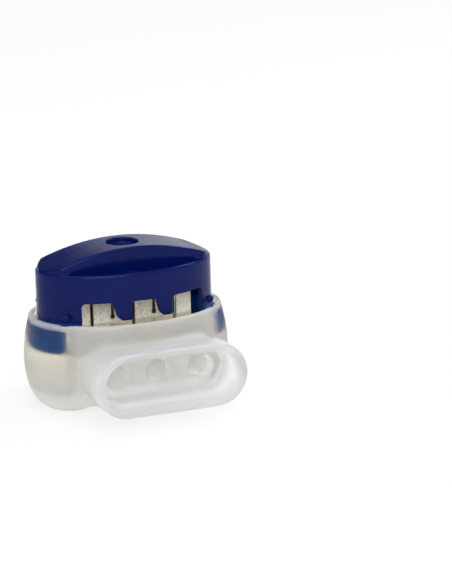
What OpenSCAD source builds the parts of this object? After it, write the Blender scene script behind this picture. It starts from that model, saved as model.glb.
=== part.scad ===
// Insulation displacement connector for three small wires.
// A press cap carries a slotted metal contact down into a gel filled body.
// The wires enter through the mouth at the front (-Y) and end in the closed pocket behind.

/* [Body bowl] */
// Height of the rim above the lowest point
rim_z = 14; // [13:0.5:16]
// Half length of the rim along X
rim_a = 14.5; // [13.5:0.1:15.5]
// Half width of the rim along Y
rim_b = 10.8; // [10.2:0.1:11.5]
// Half length of the bowl where it is widest
bulge_a = 15.45; // [14.8:0.05:16.2]
// Half width of the bowl where it is widest
bulge_b = 11.7; // [11.2:0.1:12.5]
// Height of the widest section
bulge_z = 7.5; // [6.5:0.1:8.5]
// Half length of the flat underside
foot_a = 11; // [10:0.1:12]
// Half width of the flat underside
foot_b = 4; // [3:0.1:6]
// How square the sections of the bowl are, 2 is an ellipse
squareness = 2.12; // [2:0.02:2.4]
// How full the bowl's ends are below its widest section, 2 is an ellipse
end_fullness = 2.3; // [2:0.1:2.5]
// How full its front and back are there
side_fullness = 2.1; // [2:0.1:2.3]
// Wall of the bowl at its two ends
end_wall = 0.85; // [0.7:0.05:1.1]
// Wall of the bowl along its front and back
side_wall = 1.1; // [0.9:0.05:1.4]
// Solid plastic under the chamber
floor_t = 3; // [2.4:0.1:3.4]
// Radius where the chamber's wall meets its floor
chamber_fillet = 2; // [1:0.1:2.6]
// Half length of the channel across the underside, between the two feet
channel_a = 10; // [9:0.1:10.2]
// Depth of that channel
channel_t = 1.6; // [0.6:0.1:1.8]
// How far the channel's sides slope inwards
channel_slope = 1.5; // [0.6:0.1:2]

/* [Wire ports] */
// Distance between neighbouring wires
pitch = 6.5; // [6.2:0.1:6.8]
// Radius of each wire hole
port_r = 1.95; // [1.7:0.05:2]
// Radius of the wells and troughs that the wires run in behind the holes
well_r = 2.3; // [2.3:0.05:2.4]
// How far the wells' axes lie below those of the holes
well_drop = 0.3; // [0.25:0.05:0.3]
// Height of the wires' axes
wire_z = 7.3; // [7:0.1:7.8]
// Half length of the neck between the bowl and the mouth
neck_a = 10.8; // [10.5:0.1:11]
// Half height of the neck
neck_b = 4.2; // [3.9:0.1:4.4]

/* [Mouth] */
// Distance of the mouth's front face from the centre
mouth_y = 19.2; // [18.2:0.1:20.2]
// Depth of the flange round the mouth
flange_d = 4.6; // [3.8:0.1:5.4]
// Half length of the flange
flange_a = 11.6; // [11.4:0.1:12.4]
// Half height of the flange
flange_b = 4.75; // [4.6:0.05:5]
// Depth of the funnel inside the flange
funnel_d = 5.8; // [5:0.1:6.2]
// Wall of the flange at its lip
lip_t = 1.15; // [0.9:0.05:1.4]
// How much the funnel narrows on each side towards the wire holes
funnel_taper = 0.4; // [0.2:0.1:0.8]
// Radius of the flange's rear edge
flange_rear_r = 1.6; // [1:0.1:2]
// Radius of the flange's front edge
flange_front_r = 0.45; // [0.2:0.05:0.6]

/* [Closed pocket behind] */
// Distance of the pocket's end from the centre
pocket_y = 14.6; // [14:0.1:15.5]
// Half length of the pocket
pocket_a = 10.8; // [10.4:0.1:11.2]
// Half height of the pocket
pocket_b = 4.2; // [3.8:0.1:4.5]
// Radius of the pocket's end edge
pocket_r = 1.3; // [0.8:0.1:1.8]
// Plastic between the wire ends and the pocket's end
pocket_wall = 1.2; // [0.9:0.1:1.6]

/* [Cap] */
// Half length of the cap
cap_a = 13.45; // [13.2:0.05:13.5]
// Half width of the cap
cap_b = 8.45; // [8.2:0.05:8.7]
// Height of the cap's edge above the body's rim
cap_rise = 7.05; // [6.5:0.05:7.5]
// Wall of the cap
cap_wall = 1; // [0.8:0.05:1.2]
// Height of the middle of the press bar above the cap's edge
bar_rise = 2.9; // [2.2:0.1:3.4]
// Half width of the press bar
bar_w = 4.23; // [4:0.05:4.6]
// Depth of the crescent pockets beside the bar
crescent_d = 2; // [1.5:0.1:2.3]
// Thickness of the cap's roof under the crescents
roof_t = 0.9; // [0.7:0.1:1.1]
// Thickness of the rib across each crescent
rib_t = 1.2; // [0.8:0.1:1.6]
// How far that rib lies below the cap's edge
rib_drop = 1; // [0.7:0.1:1.4]
// Radius of the dimple in the bar
dimple_r = 2.4; // [2:0.1:2.8]
// Depth of the dimple
dimple_d = 1; // [0.7:0.1:1.3]
// How far the middle of the dimple's floor rises
dome_rise = 0.3; // [0.1:0.05:0.5]
// Radius of that domed floor
dome_r = 9.6; // [8:0.2:12]
// Radius of the cap's upper edges
edge_r = 0.3; // [0.2:0.1:0.8]
// How far the bar's ends stand back from the cap's wall
bar_inset = 0.3; // [0.2:0.05:0.4]
// Distance from the centre to where the end skirts start
skirt_x = 10.8; // [10.6:0.1:11.3]
// How far the end skirts reach below the rim
skirt_drop = 4.8; // [4:0.1:5]
// Radius of the skirts' lower corners
skirt_r = 1; // [0.6:0.1:1.4]
// How far the cap travels when it is pressed
travel = 5.5; // [4.5:0.1:5.7]

/* [Windows in the cap wall] */
// Height of the windows above the body's rim
window_h = 2.85; // [2.5:0.05:3.1]
// Distance of the first window's left edge from the centre
window_left = 8.95; // [8.7:0.05:9.1]
// Distance of the last window's right edge from the centre
window_right = 10; // [9.6:0.1:10.3]
// Radius of each window's upper left corner
window_r = 0.5; // [0.3:0.1:0.7]
// Width of each tooth at the windows' top
tooth_w = 2.7; // [2.4:0.1:3]
// Width of each tooth at its knee
tooth_knee = 2.15; // [2:0.05:2.3]
// Width of each tooth at its tip
tooth_tip = 1.5; // [1.2:0.1:1.8]
// Height of a tooth's knee above the rim
knee_z = 0.75; // [0.5:0.05:1]
// Height of a tooth's tip above the rim
tooth_z = 0.12; // [0.05:0.01:0.3]
// How far the walls beside the windows reach below the rim
wall_drop = 0.4; // [0.2:0.1:0.8]

/* [Holding nubs] */
// Radius of each nub
nub_r = 0.6; // [0.5:0.05:0.65]
// Distance of the nubs from the centre along X
nub_x = 11.3; // [11.2:0.05:11.4]
// Distance of the nubs from the centre along Y
nub_y = 5.75; // [5.7:0.05:5.85]
// Height of the nubs above the body's rim
nub_z = 1.05; // [0.9:0.05:1.3]
// Length of the arm that joins each nub to the cap's wall
nub_arm = 1.6; // [1.4:0.1:1.8]
// Radius of that arm
nub_arm_r = 0.42; // [0.3:0.02:0.5]
// Clearance round each nub in its groove
nub_gap = 0.15; // [0.1:0.05:0.2]

/* [Contact] */
// Thickness of the contact's sheet
sheet_t = 0.5; // [0.4:0.05:0.6]
// Distance of the contact's outer faces from the centre
leg_y = 3.6; // [3.3:0.1:3.9]
// Half length of the contact
contact_a = 9.1; // [8.9:0.1:9.3]
// How far the contact's tips reach below the rim
leg_drop = 4.5; // [4:0.1:4.8]
// Width of each slot that grips a wire
slot_w = 0.55; // [0.4:0.05:0.8]
// Distance from the contact's top to the end of each gripping slot
slot_top = 0.95; // [0.8:0.05:1.2]
// Width of each gripping slot's mouth at the tips
slot_mouth = 2.6; // [2:0.1:3]
// Height over which that mouth narrows to the slot
mouth_h = 1.6; // [1:0.1:2.2]
// Width of each relief slot
relief_w = 0.5; // [0.4:0.05:0.7]
// Radius of the round end of each relief slot
relief_r = 0.38; // [0.3:0.02:0.45]
// Height of that round end below the rim
relief_drop = 0.3; // [0.1:0.1:0.6]
// Outer bend radius of the contact's folds
fold_r = 0.9; // [0.7:0.1:1.2]
// Clearance round the contact and the skirts in the body
run_gap = 0.4; // [0.3:0.05:0.5]

/* [Gel] */
// How far the gel's surface lies below the rim
gel_drop = 1; // [0.6:0.1:1.4]
// Clearance between the gel and the pieces in it
gel_gap = 0.12; // [0.08:0.02:0.2]

/* [Hidden] */
eps = 0.02;
// How far a cut runs past the solid that it cuts
over = 1;

port_x = [-pitch, 0, pitch];
cap_top = rim_z + cap_rise;
bar_top = cap_top + bar_rise;
roof_top = cap_top - crescent_d;
roof_under = roof_top - roof_t;
skirt_z = rim_z - skirt_drop;
leg_tip_z = rim_z - leg_drop;
funnel_y = mouth_y - funnel_d;
well_y = bulge_b - side_wall;
well_z = wire_z - well_drop;
bed_a = skirt_x - run_gap;
gel_z = rim_z - gel_drop;
bar_arc_r = (cap_a * cap_a + bar_rise * bar_rise) / (2 * bar_rise);

// The shapes are drawn about the cap's upright axis, then moved so that the middle of
// the part's length lies on the origin
centre = [0, (mouth_y - pocket_y) / 2, 0];

// One section of the bowl, half axes a and b
module section(a, b, n = 80) {
    p = 2 / squareness;
    polygon([for (i = [0:n - 1]) let (c = cos(i * 360 / n), s = sin(i * 360 / n))
        [a * sign(c) * pow(abs(c), p), b * sign(s) * pow(abs(s), p)]]);
}

// Share of the way from the foot to the bulge that the bowl has reached at height z
function swell(z, n) = pow(max(0, 1 - pow((bulge_z - z) / bulge_z, n)), 1 / n);

// Share of the way from the bulge to the rim, a quarter of a sine wave
function lean(z) = 1 - cos(90 * (z - bulge_z) / (rim_z - bulge_z));

function bowl_a(z) = z < bulge_z ? foot_a + (bulge_a - foot_a) * swell(z, end_fullness)
                                 : bulge_a - (bulge_a - rim_a) * lean(z);
function bowl_b(z) = z < bulge_z ? foot_b + (bulge_b - foot_b) * swell(z, side_fullness)
                                 : bulge_b - (bulge_b - rim_b) * lean(z);

module bowl() {
    lower = [for (i = [0:7]) bulge_z * (1 - cos(i * 90 / 8))];
    upper = [for (i = [0:4]) bulge_z + (rim_z - bulge_z) * i / 4];
    hull() for (z = concat(lower, upper))
        translate([0, 0, z - (z > rim_z - eps ? eps : 0)])
            linear_extrude(eps) section(bowl_a(z), bowl_b(z));
}

// The hollow of the bowl, open at the top
module chamber(gap = 0, top = rim_z + over) {
    steps = [for (i = [0:3]) floor_t + chamber_fillet * (1 - cos(i * 90 / 3))];
    walls = [bulge_z, (bulge_z + rim_z) / 2, top];
    hull() {
        for (i = [0:3]) {
            inset = chamber_fillet * (1 - sin(i * 90 / 3)) + gap;
            z = steps[i];
            translate([0, 0, z + (i == 0 ? gap : 0)]) linear_extrude(eps)
                section(bowl_a(z) - end_wall - inset, bowl_b(z) - side_wall - inset, 64);
        }
        for (z = walls) translate([0, 0, z]) linear_extrude(eps)
            section(bowl_a(min(z, rim_z)) - end_wall - gap, bowl_b(min(z, rim_z)) - side_wall - gap, 64);
    }
}

// A solid with a stadium outline, half length a and half height b, whose edge follows the
// half profile drawn by its child: distance from the centre line, then distance forward
module stadium(a, b) {
    translate([0, 0, wire_z]) rotate([90, 0, 0]) {
        for (s = [-1, 1]) translate([s * (a - b), 0, 0]) rotate_extrude($fn = 64) children();
        rotate([90, 0, 90]) linear_extrude(2 * (a - b), center = true) {
            children();
            mirror([1, 0]) children();
        }
    }
}

// Half profile of a block from y0 to y1 with round edges r0 and r1
module rounded_half(b, y0, y1, r0, r1) {
    translate([0, y0 + r0]) square([b, y1 - y0 - r0 - r1]);
    translate([0, y0]) square([b - r0, y1 - y0]);
    translate([0, y1 - r1 - eps]) square([b - r1, r1 + eps]);
    translate([b - r0, y0 + r0]) circle(r = r0, $fn = 32);
    translate([b - r1, y1 - r1]) circle(r = r1, $fn = 32);
}

// The flange, with round front and rear edges
module flange() {
    stadium(flange_a, flange_b)
        rounded_half(flange_b, mouth_y - flange_d, mouth_y, flange_rear_r, flange_front_r);
}

// The funnel that leads the wires to their holes
module funnel() {
    lip = flange_b - lip_t;
    stadium(flange_a - lip_t, lip)
        polygon([[0, funnel_y], [lip - funnel_taper, funnel_y],
            [lip, mouth_y], [lip, mouth_y + over], [0, mouth_y + over]]);
}

// The closed pocket, with a round end edge
module pocket() {
    stadium(pocket_a, pocket_b)
        rounded_half(pocket_b, -pocket_y, -bulge_b / 2, pocket_r, 0);
}

// The neck between the bowl and the mouth
module neck() {
    stadium(neck_a, neck_b)
        translate([0, bulge_b / 2]) square([neck_b, mouth_y - flange_d / 2 - bulge_b / 2]);
}

// Wire holes through the front wall, and the wells behind them with closed ends
module passages() {
    for (x = port_x) {
        translate([x, -funnel_y - eps, wire_z]) rotate([-90, 0, 0])
            cylinder(r = port_r, h = funnel_y - well_y + 2 * eps, $fn = 48);
        translate([x, -well_y, well_z]) rotate([-90, 0, 0])
            cylinder(r = well_r, h = well_y + pocket_y - pocket_wall, $fn = 48);
    }
}

// The bed that carries the wires under the contact, slotted for its two plates
module bed() {
    slot = sheet_t + 2 * run_gap;
    difference() {
        translate([-bed_a, -bulge_b, 0]) cube([2 * bed_a, 2 * bulge_b, wire_z]);
        for (s = [-1, 1])
            translate([0, s * (leg_y - sheet_t / 2), leg_tip_z - travel - run_gap + rim_z / 2])
                cube([2 * (contact_a + run_gap), slot, rim_z], center = true);
    }
}

// Grooves that let the nubs pass the rim
module nub_grooves() {
    for (x = [-nub_x, nub_x], y = [-nub_y, nub_y])
        translate([x, y, rim_z + nub_z - nub_r - travel - nub_gap])
            cylinder(r = nub_r + nub_gap, h = travel + nub_r + nub_gap, $fn = 32);
}

// The channel across the underside leaves a foot at each end of the bowl
module channel() {
    rotate([90, 0, 0]) linear_extrude(2 * bulge_b, center = true)
        polygon([[-channel_a, -eps], [-channel_a, 0], [channel_slope - channel_a, channel_t],
            [channel_a - channel_slope, channel_t], [channel_a, 0], [channel_a, -eps]]);
}

module body() {
    color([0.86, 0.87, 0.86, 0.6]) translate(centre) difference() {
        union() {
            bowl();
            neck();
            flange();
            pocket();
        }
        difference() {
            chamber();
            bed();
        }
        funnel();
        passages();
        nub_grooves();
        channel();
    }
}

// The cap's outline as a solid with a round upper edge
module cap_block(z0, z1) {
    hull() {
        translate([0, 0, z0]) linear_extrude(z1 - edge_r - z0)
            scale([1, cap_b / cap_a]) circle(r = cap_a, $fn = 96);
        for (t = [30:30:90]) {
            inset = edge_r * (1 - cos(t));
            translate([0, 0, z1 - edge_r * (1 - sin(t)) - eps]) linear_extrude(eps)
                scale([1, (cap_b - inset) / (cap_a - inset)]) circle(r = cap_a - inset, $fn = 96);
        }
    }
}

// An upright ellipse inside the cap's wall
module cap_core(z0, z1, inset) {
    translate([0, 0, z0]) linear_extrude(z1 - z0)
        scale([1, (cap_b - inset) / (cap_a - inset)]) circle(r = cap_a - inset, $fn = 96);
}

// Across the bar: its round long edges, swept along the arch about the arch's own centre
module press_bar() {
    foot = bar_arc_r - bar_rise - crescent_d - edge_r;
    intersection() {
        translate([0, 0, bar_top - bar_arc_r]) rotate([90, 0, 0]) rotate_extrude($fn = 360) {
            translate([foot, -bar_w]) square([bar_arc_r - edge_r - foot, 2 * bar_w]);
            translate([foot, edge_r - bar_w]) square([bar_arc_r - foot, 2 * (bar_w - edge_r)]);
            for (s = [-1, 1])
                translate([bar_arc_r - edge_r, s * (bar_w - edge_r)]) circle(r = edge_r, $fn = 32);
        }
        cap_core(roof_top - eps, bar_top + over, bar_inset);
    }
}

// The dimple in the middle of the bar, with a domed floor
module dimple() {
    difference() {
        translate([0, 0, bar_top - dimple_d]) cylinder(r = dimple_r, h = dimple_d + over, $fn = 64);
        translate([0, 0, bar_top - dimple_d + dome_rise - dome_r]) sphere(r = dome_r, $fn = 96);
    }
}

// The two crescents beside the bar, each crossed by a rib
module crescents() {
    difference() {
        cap_core(roof_top, cap_top + over, cap_wall);
        translate([-cap_a, -bar_w, roof_top - over])
            cube([2 * cap_a, 2 * bar_w, crescent_d + 3 * over]);
        translate([-rib_t / 2, -cap_b, roof_top - over])
            cube([rib_t, 2 * cap_b, crescent_d + over - rib_drop]);
    }
}

// A tooth between two windows, upright on its right side and sloping on its left
module tooth(right) {
    polygon([[right, window_h + over], [right, tooth_z], [right - tooth_tip, tooth_z],
        [right - tooth_knee, knee_z], [right - tooth_w, window_h], [right - tooth_w, window_h + over]]);
}

// The round upper left corner of a window
module window_corner(left) {
    difference() {
        translate([left - eps, window_h - window_r]) square([window_r + eps, window_r + eps]);
        translate([left + window_r, window_h - window_r]) circle(r = window_r, $fn = 32);
    }
}

// Windows through the front and back walls, with the teeth left standing
module windows() {
    rights = [for (s = [-1, 1]) s * pitch / 2 + tooth_w / 2];
    translate([0, 0, rim_z]) rotate([90, 0, 0])
        linear_extrude(2 * (cap_b + over), center = true) difference() {
            translate([-window_left, -skirt_drop - over])
                square([window_left + window_right, window_h + skirt_drop + over]);
            for (right = rights) tooth(right);
            for (left = concat([-window_left], rights)) window_corner(left);
        }
}

// Space between the end skirts, under the walls beside the windows
module skirt_gap() {
    for (m = [0, 1]) mirror([m, 0, 0]) translate([0, 0, rim_z])
        rotate([90, 0, 0]) linear_extrude(2 * (cap_b + over), center = true) {
            translate([-eps, -skirt_drop - over]) square([skirt_x + eps, skirt_drop + over - wall_drop]);
            difference() {
                translate([skirt_x - eps, -skirt_drop - over]) square([skirt_r + eps, over + skirt_r]);
                translate([skirt_x + skirt_r, -skirt_drop + skirt_r]) circle(r = skirt_r, $fn = 32);
            }
        }
}

// A nub and the short arm that carries it
module nub(sx, sy) {
    aim = atan2(sy * nub_y, sx * nub_x);
    translate([sx * nub_x, sy * nub_y, rim_z + nub_z]) {
        sphere(r = nub_r, $fn = 32);
        rotate([0, 0, aim]) rotate([0, -90, 0]) cylinder(r = nub_arm_r, h = nub_arm, $fn = 24);
    }
}

module cap() {
    color([0.09, 0.12, 0.38, 0.95]) translate(centre) difference() {
        union() {
            difference() {
                cap_block(skirt_z, cap_top);
                crescents();
            }
            press_bar();
            for (sx = [-1, 1], sy = [-1, 1]) nub(sx, sy);
        }
        cap_core(skirt_z - over, roof_under, cap_wall);
        windows();
        skirt_gap();
        dimple();
    }
}

// The folded section of the contact, drawn across Y and Z
module contact_section() {
    inner_r = fold_r - sheet_t;
    h = roof_under - leg_tip_z;
    difference() {
        union() {
            for (s = [-1, 1]) translate([s * (leg_y - fold_r), h - fold_r]) circle(r = fold_r, $fn = 48);
            translate([-leg_y, 0]) square([2 * leg_y, h - fold_r]);
            translate([-leg_y + fold_r, 0]) square([2 * (leg_y - fold_r), h]);
        }
        for (s = [-1, 1]) translate([s * (leg_y - fold_r), h - fold_r]) circle(r = inner_r, $fn = 48);
        translate([-leg_y + sheet_t, -over]) square([2 * (leg_y - sheet_t), h - fold_r + over]);
        translate([-leg_y + fold_r, -over]) square([2 * (leg_y - fold_r), h - sheet_t + over]);
    }
}

// Slots cut through both plates, seen along Y from the tips up
module contact_slots() {
    h = roof_under - leg_tip_z;
    relief_h = leg_drop - relief_drop;
    crown = h - slot_top;
    m = slot_mouth / 2;
    for (x = port_x) translate([x, 0]) {
        translate([-slot_w / 2, -over]) square([slot_w, crown + over - slot_w / 2]);
        translate([0, crown - slot_w / 2]) circle(r = slot_w / 2, $fn = 32);
        polygon([[-m, -over], [-m, 0], [-slot_w / 2, mouth_h], [slot_w / 2, mouth_h], [m, 0], [m, -over]]);
    }
    for (x = [-pitch / 2, pitch / 2]) translate([x, 0]) {
        translate([-relief_w / 2, relief_h]) square([relief_w, h - fold_r - relief_h]);
        translate([0, relief_h]) circle(r = relief_r, $fn = 32);
    }
}

module contact() {
    color([0.72, 0.7, 0.62]) translate(centre + [0, 0, leg_tip_z]) difference() {
        rotate([90, 0, 90]) linear_extrude(2 * contact_a, center = true) contact_section();
        rotate([90, 0, 0]) linear_extrude(2 * (leg_y + over), center = true) contact_slots();
    }
}

// The gel fills the chamber round the contact and the skirts
module sealant_gel() {
    g = gel_gap;
    color([0.85, 0.84, 0.76, 0.5]) translate(centre) difference() {
        chamber(g, gel_z);
        translate([-bed_a - g, -bulge_b, 0]) cube([2 * (bed_a + g), 2 * bulge_b, well_z + well_r + g]);
        for (s = [-1, 1])
            translate([-contact_a - g, s * (leg_y - sheet_t / 2) - sheet_t / 2 - g, leg_tip_z - g])
                cube([2 * (contact_a + g), sheet_t + 2 * g, rim_z]);
        difference() {
            cap_core(skirt_z - g, rim_z, -g);
            cap_core(skirt_z - over, rim_z + over, cap_wall + g);
            translate([-skirt_x + g, -cap_b - over, 0])
                cube([2 * (skirt_x - g), 2 * (cap_b + over), rim_z + over]);
        }
    }
}

body();
cap();
contact();
sealant_gel();
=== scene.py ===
"""Gel filled press cap wire connector, standing on a pale studio floor."""
import math

import bpy
from mathutils import Matrix, Vector


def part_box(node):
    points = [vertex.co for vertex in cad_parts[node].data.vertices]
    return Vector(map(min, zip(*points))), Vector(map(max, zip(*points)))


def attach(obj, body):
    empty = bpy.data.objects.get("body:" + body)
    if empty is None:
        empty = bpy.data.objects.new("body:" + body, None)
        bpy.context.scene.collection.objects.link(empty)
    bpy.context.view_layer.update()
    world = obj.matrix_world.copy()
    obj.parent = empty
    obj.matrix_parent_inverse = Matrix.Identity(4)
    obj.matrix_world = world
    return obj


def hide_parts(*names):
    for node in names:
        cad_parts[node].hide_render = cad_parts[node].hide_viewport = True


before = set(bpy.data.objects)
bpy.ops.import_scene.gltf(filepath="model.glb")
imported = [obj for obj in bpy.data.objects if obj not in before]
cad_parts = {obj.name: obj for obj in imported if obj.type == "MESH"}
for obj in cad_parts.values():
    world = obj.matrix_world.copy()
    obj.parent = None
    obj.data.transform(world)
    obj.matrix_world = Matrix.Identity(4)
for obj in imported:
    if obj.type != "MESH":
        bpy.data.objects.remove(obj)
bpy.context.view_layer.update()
MM = 0.001

# The pieces' lowest and highest corners
BODY_LOW, BODY_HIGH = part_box("body")
CAP_LOW, CAP_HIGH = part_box("cap")
CONTACT_LOW, CONTACT_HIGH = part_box("contact")
GEL_LOW, GEL_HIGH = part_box("sealant_gel")

# The axis of the bowl, which is the cap's too, and the distance from it to the contact's plates
CENTRE = Vector((0, (CAP_LOW.y + CAP_HIGH.y) / 2, 0))
PLATE_OUT = (CONTACT_HIGH.y - CONTACT_LOW.y) / 2

# The photo's camera, found from the rim, the windows, the wire holes and the flange
CAMERA_PLACE = Vector((-181.77, -486.22, 152.80)) * MM
CAMERA_RIGHT = Vector((0.92341, -0.38267, -0.02952))
CAMERA_UP = Vector((0.12384, 0.22426, 0.96663))
CAMERA_LENS = 224.62
CAMERA_SENSOR = 36.0
CAMERA_NEAR = 0.02
CAMERA_FAR = 5

# The background that the camera sees, and the floor: its share of that background, half its
# side, and its own matt finish
WHITE = (1, 1, 1, 1)
WORLD_SEEN = 1.0
FLOOR_WHITE = 0.76
FLOOR_HALF = 1.5
FLOOR_TINT = (0.90, 0.90, 0.90), (0.92, 0.92, 0.92)
FLOOR_ROUGH = 0.75
FLOOR_GLOSS = 0.15

# The world as a light: in front, behind near the floor and behind higher up, and where each
# turns into the next, along Y and along Z
WORLD_FRONT = 0.72
WORLD_BACK = 1.2
WORLD_BACK_HIGH = 0.05
WORLD_TURN = (-0.7, 0.7)
WORLD_SPLIT = (0.29, 0.37)

# Each lamp's name, place, aim, size and power, in metres and watts
LAMPS = (
    ("top", (0, 0.05, 0.5), (0, 0, 0), (0.4, 0.4), 0.9),
    ("left", (-0.4, -0.02, 0.25), (0, 0, 0.01), (0.25, 0.35), 0.1),
    ("front", (-0.12, -0.45, 0.33), (0, 0, 0.015), (0.4, 0.25), 1.7),
    ("rim", (0.30, 0.15, 0.38), (0, 0, 0.015), (0.1, 0.1), 0.7),
)

# Where nearly all values of a noise lie
NOISE_RANGE = (0.3, 0.7)

# The wall's share of clear depth, the share of satin skin in the rest, and their refraction
BODY_CLEAR = 0.5
BODY_SKIN = 0.35
CLEAR_IOR = 1.4
SKIN_IOR = 1.45
BODY_ROUGH = (0.3, 0.38)
BODY_TINT = (0.98, 0.977, 0.966), (0.993, 0.993, 0.988)
WET_TINT = (0.98, 0.975, 0.955), (0.993, 0.988, 0.973)

# The mouth is clearer and cooler than the bowl
MOUTH_CLEAR = 0.72
MOUTH_TINT = (0.955, 0.968, 0.975, 1)

# The gel's share of haze, its colours and its wet gloss
GEL_HAZE = 0.45
GEL_TINT = (0.94, 0.925, 0.87), (0.98, 0.975, 0.94)
GEL_ROUGH = 0.1

# The wall in front of the skirts: how clear it is, the share that only refracts, its added roughness
FILM_CLEAR = 0.99
SKIRT_DEPTH = 0.5
SKIRT_BLUR = 0.1

# The cap's colour above the rim, a painted lighter blue below it for the light let through the thin
# skirts, the colour where light shines through, and the heights between which it changes from one to the
# other
CAP_TINT = (0.001, 0.005, 0.068), (0.001, 0.008, 0.092)
CAP_SUNK_PAINTED_LIGHT = (0.003, 0.085, 0.42, 1)
CAP_GLOW = (0.01, 0.12, 0.5, 1)
SUNK_Z = (BODY_HIGH.z, BODY_HIGH.z - 0.6 * MM)

# The cap's gloss, and the share of its surface that has none
CAP_ROUGH = (0.12, 0.18)
CAP_IOR = 1.49
CAP_GLOSS = 0.2
CAP_DULL = 0.35

# How much light shines through the cap above the rim and below it
GLOW_ABOVE = 0.06
GLOW_SUNK = 0.3

# The tin's grain from dark to light, its gloss, the roundness of its edges, and the painted shade between
# the two plates, with the distances from the axis between which it ends
TIN_GRAIN = (0.47, 0.42, 0.33), (0.74, 0.69, 0.61), (0.86, 0.82, 0.77)
TIN_ROUGH = (0.5, 0.35)
TIN_METAL = 0.3
TIN_EDGE = 0.08 * MM
TIN_PAINTED_SHADE = (0.16, 0.12, 0.05, 1)
PAINTED_SHADE_Y = (PLATE_OUT - 0.4 * MM, PLATE_OUT - 0.1 * MM)

# The heights between which the gel wets the bowl's wall, and how far off the axis that wall lies
# at most
WET_Z = (GEL_LOW.z + 0.08 * MM, GEL_HIGH.z - 0.02 * MM)
WET_Y = (GEL_HIGH.y - GEL_LOW.y) / 2 + 0.37 * MM

# The gel is clear round the contact and at its surface, and hazy along the bowl's wall
GEL_CLEAR_Y = (PLATE_OUT + 0.8 * MM, PLATE_OUT + 2.4 * MM)
GEL_CLEAR_Z = (GEL_HIGH.z - 0.12 * MM, GEL_HIGH.z - 0.42 * MM)

# Where the wall turns into the mouth
MOUTH_Y = (BODY_LOW.y + 7.4 * MM, BODY_LOW.y + 5.4 * MM)

# The part that the cap's end skirts stand behind: its start along X and the blur there,
# for the wall's outer face, its inner face and the gel
SKIRT_OUTER = (CAP_HIGH.x - 1.95 * MM, 1.3 * MM)
SKIRT_INNER = (CAP_HIGH.x - 2.25 * MM, 1.1 * MM)
SKIRT_FILM = (CAP_HIGH.x - 2.65 * MM, 0.5 * MM)

# The heights over which that part fades in from below, and out towards the rim
SKIRT_LOW = (GEL_LOW.z + 0.38 * MM, CAP_LOW.z + 0.3 * MM)
SKIRT_TOP = (BODY_HIGH.z - 0.4 * MM, BODY_HIGH.z - 0.9 * MM)

# How finely the two mouldings are remeshed, and how often they are relaxed
BODY_VOXEL = 0.24 * MM
BODY_RELAX = 1
CAP_VOXEL = 0.15 * MM
CAP_RELAX = 2

# Faces that meet at less than this angle are shaded as one, and points nearer than this are joined
SMOOTH_ANGLE = math.radians(32)
WELD = 0.004 * MM


def new_material(name):
    """A material without nodes, and its tree."""
    mat = bpy.data.materials.new(name)
    mat.use_nodes = True
    mat.node_tree.nodes.clear()
    return mat, mat.node_tree


def node(tree, kind, inputs=(), **settings):
    """Adds a node, sets its properties and fills its inputs with values or links."""
    made = tree.nodes.new("ShaderNode" + kind)
    for key, value in settings.items():
        setattr(made, key, value)
    for key, value in dict(inputs).items():
        if isinstance(value, bpy.types.NodeSocket):
            tree.links.new(value, made.inputs[key])
        else:
            made.inputs[key].default_value = value
    return made


def finish_material(mat, shader):
    """Gives the shader to the material's output and hands the material back."""
    node(mat.node_tree, "OutputMaterial", {"Surface": shader.outputs[0]})
    return mat


def math_node(tree, operation, *values):
    """The result of a sum on numbers or sockets."""
    return node(tree, "Math", dict(enumerate(values)), operation=operation).outputs[0]


def mix(tree, share, first, second):
    """Two shaders mixed, the share being the second's."""
    return node(tree, "MixShader", {0: share, 1: first.outputs[0], 2: second.outputs[0]})


def blend(tree, share, first, second):
    """Two colours mixed, the share being the second's."""
    return node(tree, "MixRGB", {"Fac": share, "Color1": first, "Color2": second}).outputs[0]


def rise(tree, value, start, end, low=0, high=1, soft=False):
    """Runs from low to high while the value runs from start to end."""
    kind = "SMOOTHSTEP" if soft else "LINEAR"
    return node(tree, "MapRange", {"Value": value, "From Min": start, "From Max": end, "To Min": low,
                                   "To Max": high}, interpolation_type=kind).outputs["Result"]


def axes(tree, vector):
    """The vector's parts, by axis."""
    return node(tree, "SeparateXYZ", {0: vector}).outputs


def own_place(tree):
    """The place in the object's own space, by axis."""
    return axes(tree, node(tree, "TexCoord").outputs["Object"])


def noise(tree, scale, detail, rough=0.55):
    """Noise in the object's own space, scale in features a metre."""
    place = node(tree, "TexCoord").outputs["Object"]
    made = node(tree, "TexNoise", {"Vector": place, "Scale": scale, "Detail": detail, "Roughness": rough})
    return made.outputs["Fac"]


def ramp(tree, fac, colours, span=NOISE_RANGE):
    """A ramp through the colours, spaced evenly over the span."""
    made = node(tree, "ValToRGB", {"Fac": fac})
    marks = made.color_ramp.elements
    while len(marks) < len(colours):
        marks.new(1)
    step = (span[1] - span[0]) / (len(colours) - 1)
    for index, colour in enumerate(colours):
        marks[index].position = span[0] + index * step
        marks[index].color = (*colour, 1)
    return made.outputs["Color"]


def spread(tree, fac, low, high):
    """The noise stretched over low to high."""
    return rise(tree, fac, *NOISE_RANGE, low, high)


def bump(tree, height, depth, strength, normal=None):
    """Normals raised by the height, up to the depth in metres."""
    inputs = {"Height": height, "Distance": depth, "Strength": strength}
    if normal is not None:
        inputs["Normal"] = normal
    return node(tree, "Bump", inputs).outputs["Normal"]


def seen_directly(tree):
    """1 for what the camera sees, also through the clear plastic."""
    path = node(tree, "LightPath").outputs
    return math_node(tree, "MAXIMUM", path["Is Camera Ray"], path["Is Transmission Ray"])


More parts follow.
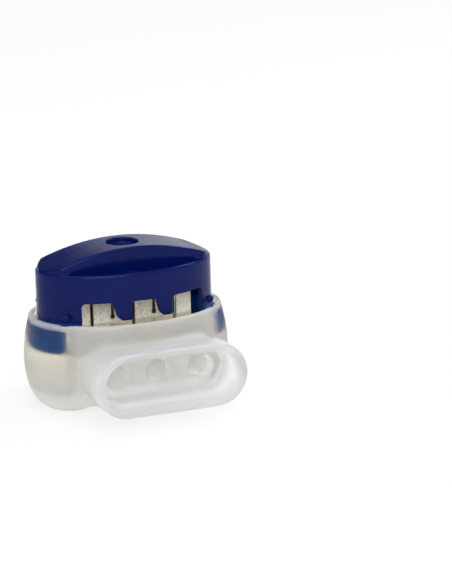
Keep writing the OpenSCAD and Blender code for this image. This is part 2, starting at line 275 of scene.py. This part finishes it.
def skirt_zone(tree, start, blur, low, high):
    """Runs from low to high where the gel between the cap's end skirts and the wall is only a film."""
    place = own_place(tree)
    across = math_node(tree, "ABSOLUTE", place["X"])
    ends = rise(tree, across, start - blur, start + blur, soft=True)
    upper = rise(tree, place["Z"], *SKIRT_LOW, soft=True)
    below = rise(tree, place["Z"], *SKIRT_TOP)
    both = math_node(tree, "MULTIPLY", math_node(tree, "MULTIPLY", ends, upper), below)
    return rise(tree, both, 0, 1, low, high)


def mouth_zone(tree):
    """Runs from 0 on the bowl to 1 on the flange and in the funnel."""
    return rise(tree, own_place(tree)["Y"], *MOUTH_Y, soft=True)


def off_centre(tree, place):
    """How far the place lies in front of the bowl's axis or behind it."""
    return math_node(tree, "ABSOLUTE", math_node(tree, "SUBTRACT", place["Y"], CENTRE.y))


def rounded(tree, radius):
    """Normals that round hard edges off."""
    return node(tree, "Bevel", {"Radius": radius}, samples=4).outputs["Normal"]


def frosted_plastic():
    """Milky translucent moulding: clear depth, light scattered through it and a thin satin skin."""
    mat, tree = new_material("frosted_body")
    front = mouth_zone(tree)
    tint = ramp(tree, noise(tree, scale=260, detail=4), BODY_TINT)
    tint = blend(tree, front, tint, MOUTH_TINT)
    normal = bump(tree, noise(tree, scale=1500, detail=2), depth=0.02 * MM, strength=0.3)
    rough = spread(tree, noise(tree, scale=500, detail=3), *BODY_ROUGH)
    rough = math_node(tree, "ADD", rough, skirt_zone(tree, *SKIRT_OUTER, 0, SKIRT_BLUR))
    clear = node(tree, "BsdfPrincipled", {"Base Color": tint, "Roughness": rough, "IOR": CLEAR_IOR,
                                          "Transmission Weight": 1.0, "Normal": normal})
    milk = node(tree, "BsdfTranslucent", {"Color": tint, "Normal": normal})
    skin = node(tree, "BsdfPrincipled", {"Base Color": tint, "Roughness": rough, "IOR": SKIN_IOR,
                                         "Normal": normal})
    share = rise(tree, front, 0, 1, BODY_CLEAR, MOUTH_CLEAR)
    share = math_node(tree, "MAXIMUM", share, skirt_zone(tree, *SKIRT_OUTER, 0, FILM_CLEAR))
    both = mix(tree, share, mix(tree, BODY_SKIN, milk, skin), clear)
    film = node(tree, "BsdfRefraction", {"Color": tint, "Roughness": rough, "IOR": CLEAR_IOR,
                                         "Normal": normal})
    both = mix(tree, skirt_zone(tree, *SKIRT_OUTER, 0, SKIRT_DEPTH), both, film)
    return finish_material(mat, both)


def wet_plastic():
    """The chamber's wall where gel touches it: light passes straight on, part of it scattered."""
    mat, tree = new_material("frosted_wet")
    tint = ramp(tree, noise(tree, scale=260, detail=4), WET_TINT)
    straight = node(tree, "BsdfTransparent", {"Color": tint})
    milk = node(tree, "BsdfTranslucent", {"Color": tint})
    both = mix(tree, skirt_zone(tree, *SKIRT_INNER, BODY_CLEAR, FILM_CLEAR), milk, straight)
    return finish_material(mat, both)


def navy_plastic():
    """Deep blue moulding with a soft gloss, painted a lighter blue below the rim as painted light for the
    light let through the thin skirts.
    """
    mat, tree = new_material("navy_cap")
    colour = ramp(tree, noise(tree, scale=120, detail=1.5), CAP_TINT, span=(0.2, 0.8))
    normal = bump(tree, noise(tree, scale=700, detail=2), depth=0.02 * MM, strength=0.25)
    height = axes(tree, node(tree, "NewGeometry").outputs["Position"])["Z"]
    sunk = rise(tree, height, *SUNK_Z)
    # Painted light: below the rim the base colour turns a lighter blue, standing in for light let through
    # the skirts
    colour = blend(tree, sunk, colour, CAP_SUNK_PAINTED_LIGHT)
    rough = spread(tree, noise(tree, scale=200, detail=2), *CAP_ROUGH)
    solid = node(tree, "BsdfPrincipled", {"Base Color": colour, "Roughness": rough, "IOR": CAP_IOR,
                                          "Normal": normal, "Specular IOR Level": CAP_GLOSS})
    dull = node(tree, "BsdfDiffuse", {"Color": colour, "Normal": normal})
    glow = node(tree, "BsdfTranslucent", {"Color": CAP_GLOW})
    share = rise(tree, sunk, 0, 1, GLOW_ABOVE, GLOW_SUNK)
    return finish_material(mat, mix(tree, share, mix(tree, CAP_DULL, solid, dull), glow))


def tinned_metal():
    """Dull tin plating with a yellowish grain, with painted shade that darkens it between the two plates.
    """
    mat, tree = new_material("tinned_contact")
    grain = noise(tree, scale=2600, detail=4, rough=0.7)
    # Painted shade: the faces between the two plates are given a dark colour in place of real shade
    outside = rise(tree, off_centre(tree, own_place(tree)), *PAINTED_SHADE_Y)
    colour = blend(tree, outside, TIN_PAINTED_SHADE, ramp(tree, grain, TIN_GRAIN))
    normal = bump(tree, grain, depth=0.03 * MM, strength=0.5, normal=rounded(tree, TIN_EDGE))
    metal = node(tree, "BsdfPrincipled", {"Base Color": colour, "Metallic": TIN_METAL, "Normal": normal,
                                          "Roughness": spread(tree, grain, *TIN_ROUGH)})
    return finish_material(mat, metal)


def clear_gel():
    """Wet clear gel, faintly warm, with a haze along the bowl's wall."""
    mat, tree = new_material("sealing_gel")
    tint = ramp(tree, noise(tree, scale=300, detail=3), GEL_TINT)
    normal = bump(tree, noise(tree, scale=420, detail=3), depth=0.25 * MM, strength=0.5)
    clear = node(tree, "BsdfTransparent", {"Color": tint})
    haze = node(tree, "BsdfTranslucent", {"Color": tint, "Normal": normal})
    place = own_place(tree)
    outer = rise(tree, off_centre(tree, place), *GEL_CLEAR_Y, soft=True)
    below = rise(tree, place["Z"], *GEL_CLEAR_Z)
    share = math_node(tree, "MULTIPLY", outer, below)
    share = math_node(tree, "MULTIPLY", share, skirt_zone(tree, *SKIRT_FILM, GEL_HAZE, 1 - FILM_CLEAR))
    gel = mix(tree, share, clear, haze)
    wet_skin = node(tree, "BsdfGlossy", {"Color": WHITE, "Roughness": GEL_ROUGH, "Normal": normal})
    gloss = node(tree, "Fresnel", {"IOR": CLEAR_IOR, "Normal": normal}).outputs[0]
    gloss = math_node(tree, "MULTIPLY", gloss, skirt_zone(tree, *SKIRT_FILM, 1, 0))
    return finish_material(mat, mix(tree, gloss, gel, wet_skin))


def studio_floor():
    """Matt white floor, with a faint grain."""
    mat, tree = new_material("studio_floor")
    tint = ramp(tree, noise(tree, scale=40, detail=3), FLOOR_TINT)
    matt = node(tree, "BsdfPrincipled", {"Base Color": tint, "Roughness": FLOOR_ROUGH,
                                         "Specular IOR Level": FLOOR_GLOSS})
    white = node(tree, "Emission", {"Color": WHITE, "Strength": WORLD_SEEN})
    share = math_node(tree, "MULTIPLY", seen_directly(tree), FLOOR_WHITE)
    return finish_material(mat, mix(tree, share, matt, white))


def moulded(name, voxel, relax, body):
    """The CAD node's own form as one soft-edged moulding, standing for the node."""
    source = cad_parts[name]
    piece = bpy.data.objects.new(name + "_moulded", source.data.copy())
    bpy.context.scene.collection.objects.link(piece)
    remesh = piece.modifiers.new("skin", "REMESH")
    remesh.mode = "VOXEL"
    remesh.voxel_size = voxel
    remesh.use_smooth_shade = True
    soft = piece.modifiers.new("soft", "SMOOTH")
    soft.factor = 0.5
    soft.iterations = relax
    graph = bpy.context.evaluated_depsgraph_get()
    baked = bpy.data.meshes.new_from_object(piece.evaluated_get(graph))
    piece.modifiers.clear()
    piece.data = baked
    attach(piece, body)
    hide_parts(name)
    return piece


def wet(obj, mat):
    """Gives the faces of the chamber's wall that the gel touches their own material."""
    obj.data.materials.append(mat)
    for face in obj.data.polygons:
        x, y, z = face.center - CENTRE
        inward = face.normal.x * x + face.normal.y * y < 0
        if inward and WET_Z[0] < z < WET_Z[1] and abs(y) < WET_Y:
            face.material_index = 1


def smooth_cad(obj):
    """Smooth shading across the facets, with the real edges kept; the vertices stay as they are."""
    bpy.context.view_layer.objects.active = obj
    bpy.ops.mesh.customdata_custom_splitnormals_clear()
    obj.data.polygons.foreach_set("use_smooth", [True] * len(obj.data.polygons))
    weld = obj.modifiers.new("weld", "WELD")
    weld.merge_threshold = WELD
    split = obj.modifiers.new("edges", "EDGE_SPLIT")
    split.split_angle = SMOOTH_ANGLE
    split.use_edge_sharp = False
    even = obj.modifiers.new("even", "WEIGHTED_NORMAL")
    even.keep_sharp = True


def paint(obj, mat):
    """The material as the object's only one."""
    obj.data.materials.clear()
    obj.data.materials.append(mat)


def area_light(name, place, aim, size, power):
    """A soft lamp that points at the aim and can't be seen through the plastic."""
    lamp = bpy.data.lights.new(name, "AREA")
    lamp.shape = "RECTANGLE"
    lamp.size, lamp.size_y = size
    lamp.energy = power
    obj = bpy.data.objects.new(name, lamp)
    bpy.context.scene.collection.objects.link(obj)
    obj.location = place
    obj.rotation_euler = (Vector(aim) - Vector(place)).to_track_quat("-Z", "Y").to_euler()
    obj.visible_transmission = False


def white_world():
    """White to the camera, softer as a light."""
    world = bpy.data.worlds.new("studio")
    bpy.context.scene.world = world
    world.use_nodes = True
    tree = world.node_tree
    tree.nodes.clear()
    seen = node(tree, "Background", {"Color": WHITE, "Strength": WORLD_SEEN})
    way = axes(tree, node(tree, "TexCoord").outputs["Generated"])
    low, high = (rise(tree, way["Y"], *WORLD_TURN, WORLD_FRONT, back, soft=True)
                 for back in (WORLD_BACK, WORLD_BACK_HIGH))
    strength = rise(tree, way["Z"], *WORLD_SPLIT, low, high)
    light = node(tree, "Background", {"Color": WHITE, "Strength": strength})
    both = mix(tree, seen_directly(tree), light, seen)
    node(tree, "OutputWorld", {"Surface": both.outputs[0]})


def floor():
    """The flat floor that the connector stands on."""
    mesh = bpy.data.meshes.new("studio_floor")
    r = FLOOR_HALF
    mesh.from_pydata([(-r, -r, 0), (r, -r, 0), (r, r, 0), (-r, r, 0)], [], [(0, 1, 2, 3)])
    obj = bpy.data.objects.new("studio_floor", mesh)
    bpy.context.scene.collection.objects.link(obj)
    paint(obj, studio_floor())


def camera():
    """The camera where the photo's camera stood."""
    data = bpy.data.cameras.new("photo_camera")
    data.sensor_width = CAMERA_SENSOR
    data.lens = CAMERA_LENS
    data.clip_start, data.clip_end = CAMERA_NEAR, CAMERA_FAR
    obj = bpy.data.objects.new("photo_camera", data)
    bpy.context.scene.collection.objects.link(obj)
    right = CAMERA_RIGHT.normalized()
    up = (CAMERA_UP - CAMERA_UP.dot(right) * right).normalized()
    turn = Matrix((right, up, right.cross(up))).transposed()
    obj.matrix_world = Matrix.Translation(CAMERA_PLACE) @ turn.to_4x4()
    bpy.context.scene.camera = obj


looks = {"body": frosted_plastic(), "cap": navy_plastic(), "contact": tinned_metal(),
         "sealant_gel": clear_gel()}
pieces = dict(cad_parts)
pieces["body"] = moulded("body", BODY_VOXEL, BODY_RELAX, "housing")
pieces["cap"] = moulded("cap", CAP_VOXEL, CAP_RELAX, "plunger")
for name in ("contact", "sealant_gel"):
    smooth_cad(pieces[name])
for name, mat in looks.items():
    paint(pieces[name], mat)
    print(name, len(pieces[name].data.polygons), "faces")
wet(pieces["body"], wet_plastic())
white_world()
floor()
camera()
for lamp in LAMPS:
    area_light(*lamp)
bpy.context.scene.view_settings.view_transform = "Standard"
